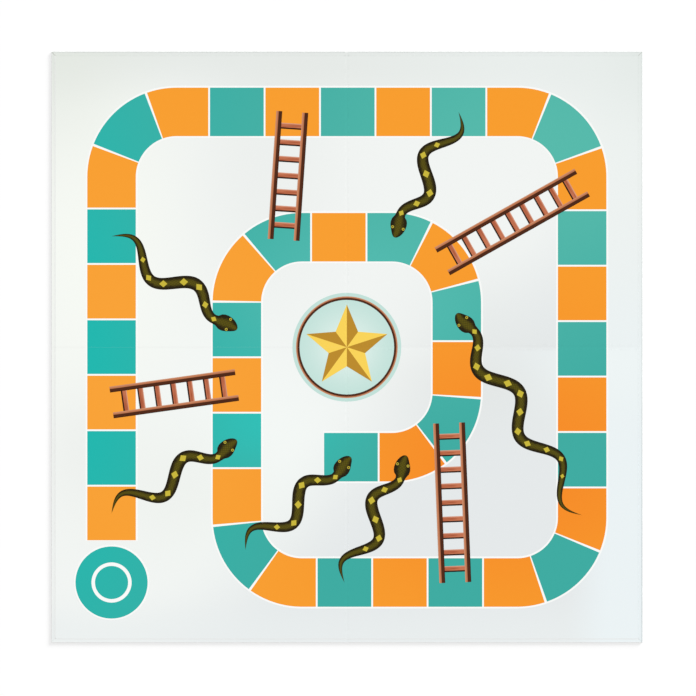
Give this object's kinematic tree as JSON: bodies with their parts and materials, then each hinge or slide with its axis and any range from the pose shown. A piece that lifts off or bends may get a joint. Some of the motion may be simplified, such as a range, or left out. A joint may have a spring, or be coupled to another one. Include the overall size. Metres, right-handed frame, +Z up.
{
  "type": "snakes and ladders board",
  "caption": "Square folding snakes and ladders board of paper-covered greyboard panels, with creased folds, a slit arm, mitred wrapped edges and a printed spiral track.",
  "frame": {"origin": "middle of the underside of the open board", "axes": "+X to the right of the print, +Y to its top, +Z up out of the printed face"},
  "size_m": [0.5, 0.5, 0.0025],
  "materials": {
    "greyboard": "matt",
    "wrap_paper": "satin",
    "face_paper": "satin laminate",
    "ink_teal": "satin laminate",
    "ink_orange": "satin laminate",
    "ink_white": "satin laminate",
    "ink_olive": "satin laminate",
    "ink_yellow": "satin laminate",
    "ink_brown": "satin laminate",
    "ink_mint": "satin laminate"
  },
  "bodies": {
    "panel_top_right": {"core_top_right": "greyboard", "wrap_top_right": "wrap_paper", "face_top_right": "face_paper", "face_crease_top_right": "face_paper", "wrap_crease_top_right": "wrap_paper", "print_teal_top_right": "ink_teal", "print_orange_top_right": "ink_orange", "print_white_top_right": "ink_white", "print_olive_top_right": "ink_olive", "print_yellow_top_right": "ink_yellow", "print_brown_top_right": "ink_brown", "print_mint_top_right": "ink_mint", "face_crease_right_upper": "face_paper", "wrap_crease_right_upper": "wrap_paper"},
    "panel_top_left": {"core_top_left": "greyboard", "wrap_top_left": "wrap_paper", "face_top_left": "face_paper", "face_crease_top_left": "face_paper", "wrap_crease_top_left": "wrap_paper", "print_teal_top_left": "ink_teal", "print_orange_top_left": "ink_orange", "print_white_top_left": "ink_white", "print_olive_top_left": "ink_olive", "print_yellow_top_left": "ink_yellow", "print_brown_top_left": "ink_brown", "print_mint_top_left": "ink_mint"},
    "panel_bottom_right": {"core_bottom_right": "greyboard", "wrap_bottom_right": "wrap_paper", "face_bottom_right": "face_paper", "face_crease_bottom_right": "face_paper", "wrap_crease_bottom_right": "wrap_paper", "print_teal_bottom_right": "ink_teal", "print_orange_bottom_right": "ink_orange", "print_white_bottom_right": "ink_white", "print_olive_bottom_right": "ink_olive", "print_yellow_bottom_right": "ink_yellow", "print_brown_bottom_right": "ink_brown", "print_mint_bottom_right": "ink_mint", "face_crease_right_lower": "face_paper", "wrap_crease_right_lower": "wrap_paper"},
    "panel_bottom_left": {"core_bottom_left": "greyboard", "wrap_bottom_left": "wrap_paper", "face_bottom_left": "face_paper", "face_crease_bottom_left": "face_paper", "wrap_crease_bottom_left": "wrap_paper", "print_teal_bottom_left": "ink_teal", "print_orange_bottom_left": "ink_orange", "print_white_bottom_left": "ink_white", "print_olive_bottom_left": "ink_olive", "print_yellow_bottom_left": "ink_yellow", "print_brown_bottom_left": "ink_brown", "print_mint_bottom_left": "ink_mint"}
  },
  "joints": [
    {"name": "fold_top", "type": "hinge", "parent": "panel_top_right", "child": "panel_top_left", "pos_m": [0, 0.125, 0.00261], "axis": [0, 1, 0], "range_deg": [0, 179.5]},
    {"name": "fold_right", "type": "hinge", "parent": "panel_top_right", "child": "panel_bottom_right", "pos_m": [0.125, 0, -0.00015], "axis": [1, 0, 0], "range_deg": [0, 179.5]},
    {"name": "fold_bottom", "type": "hinge", "parent": "panel_bottom_right", "child": "panel_bottom_left", "pos_m": [0, -0.125, 0.00261], "axis": [0, 1, 0], "range_deg": [0, 179.5]}
  ]
}
